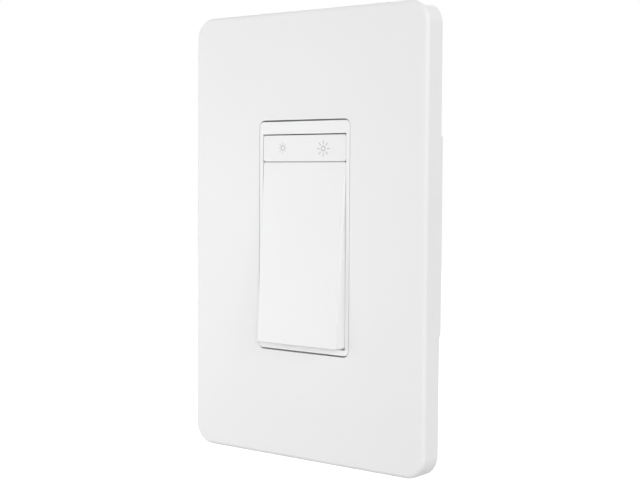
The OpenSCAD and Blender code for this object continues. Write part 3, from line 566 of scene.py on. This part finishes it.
def rod(start, end, radius, chamfer=0.1 * MM, sides=32):
    """A round rod between two points: circles about its axis, the end ones smaller by the chamfer."""
    start = np.asarray(start, float)
    end = np.asarray(end, float)
    length = np.linalg.norm(end - start)
    along = (end - start) / length
    across = np.cross(along, (0.0, 0.0, 1.0) if abs(along[2]) < 0.9 else (1.0, 0.0, 0.0))
    across /= np.linalg.norm(across)
    other = np.cross(along, across)
    angles = np.linspace(0, 2 * pi, sides, endpoint=False)
    circle = np.cos(angles)[:, None] * across + np.sin(angles)[:, None] * other
    stations = (
        (0, radius - chamfer), (chamfer, radius), (length - chamfer, radius), (length, radius - chamfer),
    )
    return loft(np.stack([start + along * place + circle * reach for place, reach in stations]))


def slab(low, high, corner=0.2 * MM):
    """A block between two corners of its box, with its four edges along Y rounded."""
    low = np.asarray(low, float)
    high = np.asarray(high, float)
    middle = (low + high) / 2
    points = outline(high[0] - low[0], high[2] - low[2], corner)
    shift = np.array([middle[0], 0, middle[2]])
    return loft(np.stack([ring(points, y) + shift for y in (low[1], high[1])]))


def make_piece(name, shells, body, material, stands_for=(), crease=35):
    """Joins shells of points and faces into one mesh, with its faces outwards and smooth up to the
    crease angle.
    """
    counts = np.cumsum([0] + [len(shell[0]) for shell in shells])
    points = np.concatenate([shell[0] for shell in shells])
    faces = []
    for first, shell in zip(counts, shells):
        faces.extend([corner + first for corner in face] for face in shell[1])
    mesh = bpy.data.meshes.new(name)
    mesh.from_pydata(points.tolist(), [], faces)
    work = bmesh.new()
    work.from_mesh(mesh)
    bmesh.ops.recalc_face_normals(work, faces=work.faces)
    work.to_mesh(mesh)
    work.free()
    mesh.polygons.foreach_set("use_smooth", np.ones(len(mesh.polygons), bool))
    mesh.set_sharp_from_angle(angle=radians(crease))
    mesh.materials.append(material)
    piece = bpy.data.objects.new(name, mesh)
    bpy.context.scene.collection.objects.link(piece)
    keep_flats_flat(piece)
    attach(piece, body)
    if stands_for:
        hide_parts(*stands_for)
    return piece


def keep_flats_flat(piece):
    """Normals weighted by face area, so that a flat face stays flat beside a rounded edge."""
    weights = piece.modifiers.new("flat_normals", "WEIGHTED_NORMAL")
    weights.weight = 100
    weights.keep_sharp = True


# Cover plate

def make_cover():
    """The cover's skin as rounded rectangles, carried out of the opening, over the front face and
    its quarter-round edge, down the skirt, and back up inside to the opening. The skirt's back edge
    lies on the wall at the two lands, and eases by t * t * (3 - 2 * t) to the relief beyond them,
    with the pry notch below. Inside run the grooves for the mounting plate's teeth.
    """
    low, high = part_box("cover_plate")
    width = high.x - low.x
    height = high.z - low.z
    front = low.y
    inside = front + COVER_WALL
    teeth_z = np.array([-1, 0, 1]) * SNAP_SHARE_Z * height
    teeth_x = np.array([-1, 1]) * SNAP_SHARE_X * width
    step_ends = np.array([-STEP_PAST, -1, 1, STEP_PAST])
    ends = SNAP_HALF * step_ends
    land_end = SKIRT_LAND / 2 + SKIRT_STEP * np.linspace(-0.5, 0.5, EASE_STEPS)
    land_marks = LAND_RISE + np.concatenate([land_end, -land_end])
    marks_z = np.sort(np.concatenate([(teeth_z[:, None] + ends).ravel(), land_marks]))
    notch_ends = PRY_HALF * step_ends
    marks_x = np.sort(np.concatenate([(teeth_x[:, None] + ends).ravel(), notch_ends]))

    def shaped(w, h, r):
        return outline(w, h, r, marks_x, marks_z)

    def opening(grow):
        return outline(
            OPENING_SIZE[0] + 2 * grow, OPENING_SIZE[1] + 2 * grow, OPENING_CORNER + grow,
            marks_x * OPENING_MARKS[0], marks_z * OPENING_MARKS[1],
        )

    rings = [ring(opening(0), inside)]
    for inset, depth in quarter(OPENING_LIP)[::-1]:
        rings.append(ring(opening(OPENING_LIP - inset), front + depth))
    for inset, depth in quarter(COVER_EDGE):
        edge = shaped(width - 2 * inset, height - 2 * inset, COVER_CORNER - inset)
        rings.append(ring(edge, front + depth))
    outer = shaped(width, height, COVER_CORNER)
    on_side = np.abs(np.abs(outer[:, 0]) - width / 2) < ON_LINE
    past = (np.abs(outer[:, 1] - LAND_RISE) - SKIRT_LAND / 2) / SKIRT_STEP + 0.5
    ease = np.clip(past, 0, 1)
    ease = ease * ease * (3 - 2 * ease)
    in_notch = (outer[:, 1] < -height / 2 + ON_LINE) & (np.abs(outer[:, 0]) < PRY_HALF * STEP_WITHIN)
    back = -SKIRT_RELIEF * np.where(on_side, ease, 1) - PRY_DEPTH * in_notch
    lip = SKIRT_LIP
    rings.append(ring(outer, back - lip))
    rings.append(ring(shaped(width - 2 * lip, height - 2 * lip, COVER_CORNER - lip), back))
    inner_w = width - 2 * COVER_WALL
    inner_h = height - 2 * COVER_WALL
    inner_r = COVER_CORNER - COVER_WALL
    rings.append(ring(shaped(inner_w + 2 * lip, inner_h + 2 * lip, inner_r + lip), back))
    rings.append(ring(shaped(inner_w, inner_h, inner_r), back - lip))
    inner = shaped(inner_w, inner_h, inner_r)
    grooved = in_grooves(inner, inner_w, inner_h, teeth_x, teeth_z)
    groove_front = front + SNAP_DEPTH
    groove_back = groove_front + SNAP_WIDTH
    rings.extend([ring(inner, groove_back), ring(grooved, groove_back)])
    rings.extend([ring(grooved, groove_front), ring(inner, groove_front)])
    for inset, depth in quarter(COVER_INNER_ROUND)[::-1]:
        corner = shaped(inner_w - 2 * inset, inner_h - 2 * inset, inner_r - inset)
        rings.append(ring(corner, inside + depth))
    make_piece(
        "cover_plate_skin", [loft(np.stack(rings), closed=True)], "base", FINISHES["white_cover"],
        ["cover_plate"],
    )


def in_grooves(points, width, height, teeth_x, teeth_z):
    """The inner outline, pushed out by the groove's depth where a tooth of the mounting plate
    snaps in.
    """
    moved = points.copy()
    reach = SNAP_HALF * STEP_WITHIN
    on_side = np.abs(np.abs(points[:, 0]) - width / 2) < ON_LINE
    on_end = np.abs(np.abs(points[:, 1]) - height / 2) < ON_LINE
    near_z = (np.abs(points[:, 1][:, None] - teeth_z) < reach).any(axis=1)
    near_x = (np.abs(points[:, 0][:, None] - teeth_x) < reach).any(axis=1)
    moved[:, 0] += np.where(on_side & near_z, np.sign(points[:, 0]) * SNAP_GROOVE, 0)
    moved[:, 1] += np.where(on_end & near_x, np.sign(points[:, 1]) * SNAP_GROOVE, 0)
    return moved


# Paddle and dimmer bar

def control_shell(width, low, high, face, back, inner_face, wall_z, edge, draft=0.0):
    """A hollow key: rounded rectangles carried back from the face round its quarter-round edge to
    the back edge, then inside to the back of the face. face, back and inner_face give y at a z.
    In front of the bezel its sides lean in by the draft times the distance from the bezel.
    """
    height = high - low
    middle = np.array([0, (low + high) / 2])
    bezel_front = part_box("bezel")[0].y
    rings = []
    for inset, depth in quarter(edge):
        points = outline(width - 2 * inset, height - 2 * inset, CONTROL_CORNER - inset) + middle
        depths = face(points[:, 1]) + depth
        points[:, 0] *= 1 - draft * np.maximum(bezel_front - depths, 0) / (width / 2)
        rings.append(ring(points, depths))
    outer = outline(width, height, CONTROL_CORNER) + middle
    rings.append(ring(outer, np.maximum(bezel_front, rings[-1][:, 1] + RING_STEP)))
    lip = CONTROL_LIP
    rings.append(ring(outer, back(outer[:, 1]) - lip))
    rim = outline(width - 2 * lip, height - 2 * lip, CONTROL_CORNER - lip) + middle
    rings.append(ring(rim, back(rim[:, 1])))
    hollow = outline(width - 2 * CONTROL_WALL, height - 2 * wall_z, HOLLOW_CORNER) + middle
    rings.append(ring(hollow, back(hollow[:, 1])))
    rings.append(ring(hollow, inner_face(hollow[:, 1])))
    return loft(np.stack(rings))


def line(y_low, y_high, low, high):
    """A function of z that runs straight from y_low to y_high."""
    return lambda z: y_low + (y_high - y_low) * (z - low) / (high - low)


def level(y):
    """A function of z that stays at one y."""
    return lambda z: np.full(z.shape, y)


def press_post(x, z, start, tip):
    """A post behind a key, with a narrow tip that presses a switch."""
    neck = tip - POST_TIP_LENGTH
    return [
        rod((x, start, z), (x, neck, z), POST_RADIUS, POST_CHAMFER),
        rod((x, neck - POST_TIP_HOLD, z), (x, tip, z), POST_TIP, sides=24),
    ]


def make_paddle(width, stem_tip):
    """The wedge-shaped paddle, with its pins, its post, its spring pegs and its inner ribs."""
    low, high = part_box("paddle")
    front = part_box("cover_plate")[0].y
    face = line(low.y, front + PADDLE_SINK, low.z, high.z)
    pivot = JOINTS["paddle_press"]["pos_m"]
    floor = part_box("bezel")[1].y - PIN_BACK
    skirt_top = floor - SKIRT_GAP_TOP
    skirt_bottom = floor - SKIRT_GAP_BOTTOM - (pivot[2] - low.z) * sin(PADDLE_TRAVEL)
    back = line(skirt_bottom, skirt_top, low.z, high.z)
    spring_z = low.z + SPRING_RISE
    shells = [
        control_shell(
            width, low.z, high.z - PADDLE_TRIM, face, back, lambda z: face(z) + CONTROL_WALL,
            CONTROL_WALL, PADDLE_EDGE, PADDLE_DRAFT,
        )
    ]
    inner = width / 2 - CONTROL_WALL / 2
    side_gap = PACKED_SIDE_GAP - SPREAD
    for side in (-1, 1):
        shells.append(
            rod(
                (side * inner, pivot[1], pivot[2]),
                (side * (width / 2 + side_gap + PIN_LENGTH), pivot[1], pivot[2]), PIN_RADIUS,
            )
        )
        peg_front = face(spring_z) + CONTROL_WALL
        shells.append(
            rod(
                (side * SPRING_X, peg_front - WALL_HOLD, spring_z),
                (side * SPRING_X, peg_front + PEG_HEIGHT, spring_z), PEG_RADIUS, PEG_CHAMFER,
            )
        )
    switch_z = pivot[2] - PADDLE_SWITCH_DROP
    post_start = face(switch_z) + CONTROL_WALL - WALL_HOLD
    shells.extend(press_post(0, switch_z, post_start, stem_tip - TOUCH_GAP))
    for z in (low.z + RIB_RISE, spring_z + RIB_STEP, switch_z - RIB_STEP):
        rib_front = face(z) + CONTROL_WALL - WALL_HOLD
        rib_end = (inner, rib_front + RIB_DEPTH, z + RIB_THICKNESS)
        shells.append(slab((-inner, rib_front, z), rib_end))
    make_piece(
        "paddle_skin", shells, "paddle", FINISHES["white_control"], ["paddle"],
    )


def make_dimmer_bar(width, stem_tip):
    """The dimmer bar, with its rib, its pins and its two posts."""
    low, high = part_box("dimmer_bar")
    pivot = JOINTS["bar_rock"]["pos_m"]
    middle = (low.z + high.z) / 2
    inside = low.y + CONTROL_WALL
    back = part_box("bezel")[1].y - PIN_BACK - BAR_SKIRT_GAP
    shells = [
        control_shell(
            width, low.z - BAR_DROP, high.z, level(low.y), level(back), level(inside), BAR_END_WALL,
            BAR_EDGE,
        )
    ]
    rib = (high.z - low.z - BAR_RIB_ENDS) / 2
    shells.append(
        slab(
            (-BAR_RIB_HALF, inside - BAR_RIB_HOLD, middle - rib),
            (BAR_RIB_HALF, pivot[1] + PIN_RADIUS, middle + rib),
        )
    )
    reach = rib + BAR_PIN_REACH
    shells.append(rod((0, pivot[1], middle - reach), (0, pivot[1], middle + reach), PIN_RADIUS))
    for side in (-1, 1):
        shells.extend(
            press_post(side * SWITCH_X, middle, inside - WALL_HOLD, stem_tip - TOUCH_GAP)
        )
    make_piece(
        "dimmer_bar_skin", shells, "dimmer_bar", FINISHES["white_control"],
        ["dimmer_bar"],
    )


def sun_shells(middle, ray_start, ray_end, ray_width):
    """A printed sun: a flat hollow ring, and rays as thin rounded strips that point outwards."""
    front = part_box("dimmer_bar")[0].y
    angles = np.linspace(0, 2 * pi, SUN_STEPS, endpoint=False)
    circle = np.column_stack([np.cos(angles), np.sin(angles)])
    shells = []
    bands = []
    for radius, y in (
        (SUN_RING[0], front), (SUN_RING[0], front - SUN_INK),
        (SUN_RING[1], front - SUN_INK), (SUN_RING[1], front),
    ):
        bands.append(ring(circle * radius + middle, y))
    shells.append(loft(np.stack(bands), closed=True))
    strip = outline(ray_end - ray_start, ray_width, ray_width * RAY_ROUND)
    strip = strip + ((ray_start + ray_end) / 2, 0)
    for index in range(SUN_RAYS):
        turn = index * 2 * pi / SUN_RAYS
        turned = strip @ np.array([[cos(turn), sin(turn)], [-sin(turn), cos(turn)]])
        turned = turned + middle
        shells.append(loft(np.stack([ring(turned, front), ring(turned, front - SUN_INK)])))
    return shells


def make_suns():
    """The small sun on the dim end of the bar and the large sun on its bright end."""
    for name, sun in (("dim_sun", DIM_SUN), ("bright_sun", BRIGHT_SUN)):
        make_piece(name, sun_shells(*sun), "dimmer_bar", SUN_GREY)


# Screw threads

def thread(x, z, start, end, radius):
    """A screw's ridge: a triangle carried along a helix into the wall, fading out at both ends."""
    turns = (end - start) / THREAD_PITCH
    angle = np.linspace(0, 2 * pi * turns, int(turns * THREAD_STEPS))
    along = start + (end - start) * angle / angle[-1]
    fade = np.clip(np.minimum(angle, angle[-1] - angle) / pi, THREAD_LEAST, 1)
    profile = np.array(
        [(-THREAD_HALF, -THREAD_ROOT), (0, THREAD_DEPTH), (THREAD_HALF, -THREAD_ROOT)]
    )
    reach = radius + np.where(profile[:, 1] > 0, profile[:, 1] * fade[:, None], profile[:, 1])
    depth = along[:, None] + profile[:, 0] * THREAD_PITCH
    grid = np.stack(
        [x + reach * np.cos(angle)[:, None], depth, z + reach * np.sin(angle)[:, None]], axis=-1,
    )
    return loft(grid)


def make_threads():
    """The ridges on the two device-box screws."""
    low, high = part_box("box_screws")
    shells = []
    for z in (low.z + BOX_HEAD_RADIUS, high.z - BOX_HEAD_RADIUS):
        shells.append(thread(0, z, THREAD_START, high.y - THREAD_END_GAP, BOX_SHANK_RADIUS))
    make_piece(
        "box_screw_threads", shells, "base", FINISHES["screw_steel"], crease=20,
    )


# Finishes and fine edges of the pieces that come from the model

def crease_group():
    """Smooth shading except at edges over the given angle, as nodes on the mesh."""
    tree = bpy.data.node_groups.new("crease_by_angle", "GeometryNodeTree")
    tree.interface.new_socket("Geometry", in_out="INPUT", socket_type="NodeSocketGeometry")
    tree.interface.new_socket("Geometry", in_out="OUTPUT", socket_type="NodeSocketGeometry")
    given = tree.nodes.new("NodeGroupInput")
    made = tree.nodes.new("NodeGroupOutput")
    angle = tree.nodes.new("GeometryNodeInputMeshEdgeAngle")
    gentle = add(tree, "FunctionNodeCompare", {1: CREASE_ANGLE}, operation="LESS_THAN")
    tree.links.new(angle.outputs["Unsigned Angle"], gentle.inputs[0])
    edges = add(tree, "GeometryNodeSetShadeSmooth", domain="EDGE")
    tree.links.new(given.outputs[0], edges.inputs["Geometry"])
    tree.links.new(gentle.outputs[0], edges.inputs["Shade Smooth"])
    faces = add(tree, "GeometryNodeSetShadeSmooth", {"Shade Smooth": True}, domain="FACE")
    tree.links.new(edges.outputs[0], faces.inputs["Geometry"])
    tree.links.new(faces.outputs[0], made.inputs[0])
    return tree


CREASES = crease_group()

FINE_EDGES = {
    "bezel": 0.2, "mounting_plate": 0.2, "strap": 0.12, "rear_housing": 0.25, "plate_screws": 0.12,
    "box_screws": 0.15, "housing_screws": 0.1, "terminal_plates": 0.1, "hot_terminal_screws": 0.15,
    "neutral_terminal_screws": 0.15, "ground_screw": 0.15,
}

SLOT_OF = {
    "cover_plate": "white_cover", "mounting_plate": "white_moulding", "plate_screws": "white_paint",
    "strap": "strap_steel", "box_screws": "screw_steel", "bezel": "white_bezel",
    "paddle": "white_control", "paddle_springs": "screw_steel", "dimmer_bar": "white_control",
    "paddle_switch": "black_moulding", "dim_switch": "black_moulding",
    "bright_switch": "black_moulding",
    "paddle_switch_stem": "white_moulding", "dim_switch_stem": "white_moulding",
    "bright_switch_stem": "white_moulding", "control_board": "circuit_board",
    "board_spacers": "white_moulding", "insulator_sheet": "fish_paper", "radio_board": "circuit_board",
    "radio_shield": "strap_steel", "processor": "black_moulding", "board_header": "black_moulding",
    "power_board": "circuit_board", "triac": "black_moulding", "triac_pad": "grey_pad",
    "choke_core": "ferrite", "choke_winding": "copper", "film_capacitor": "yellow_case",
    "electrolytic_capacitors": "blue_case", "transformer_core": "ferrite",
    "transformer_coil": "yellow_case", "varistor": "blue_case", "fuse": "black_moulding",
    "bridge_rectifier": "black_moulding", "rear_housing": "housing_black",
    "housing_screws": "screw_steel", "terminal_plates": "brass", "hot_terminal_screws": "brass",
    "neutral_terminal_screws": "screw_steel", "ground_screw": "green_screw",
}


def dress(name, node):
    """The slot's finish on every face, and a fine round on every sharp edge, as modifiers."""
    slot = SLOT_OF[name]
    for place in node.material_slots:
        place.material = FINISHES[slot]
    weld = node.modifiers.new("weld", "WELD")
    weld.merge_threshold = WELD_REACH
    flat = node.modifiers.new("flat", "DECIMATE")
    flat.decimate_type = "DISSOLVE"
    flat.angle_limit = FLAT_ANGLE
    if name in FINE_EDGES:
        bevel = node.modifiers.new("fine_edges", "BEVEL")
        bevel.width = FINE_EDGES[name] * MM
        bevel.segments = 2
        bevel.limit_method = "ANGLE"
        bevel.angle_limit = BEVEL_ANGLE
    creases = node.modifiers.new("creases", "NODES")
    creases.node_group = CREASES
    keep_flats_flat(node)


bpy.context.scene.view_settings.view_transform = "Standard"
set_camera()
set_world()
set_floor()
set_lamps()

for node_name, cad_node in NODES.items():
    dress(node_name, cad_node)

bar_width = (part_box("dimmer_bar")[1].x + SPREAD) * 2
stem_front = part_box("paddle_switch_stem")[0].y
make_cover()
make_paddle(bar_width, stem_front)
make_dimmer_bar(bar_width, stem_front)
make_suns()
make_threads()
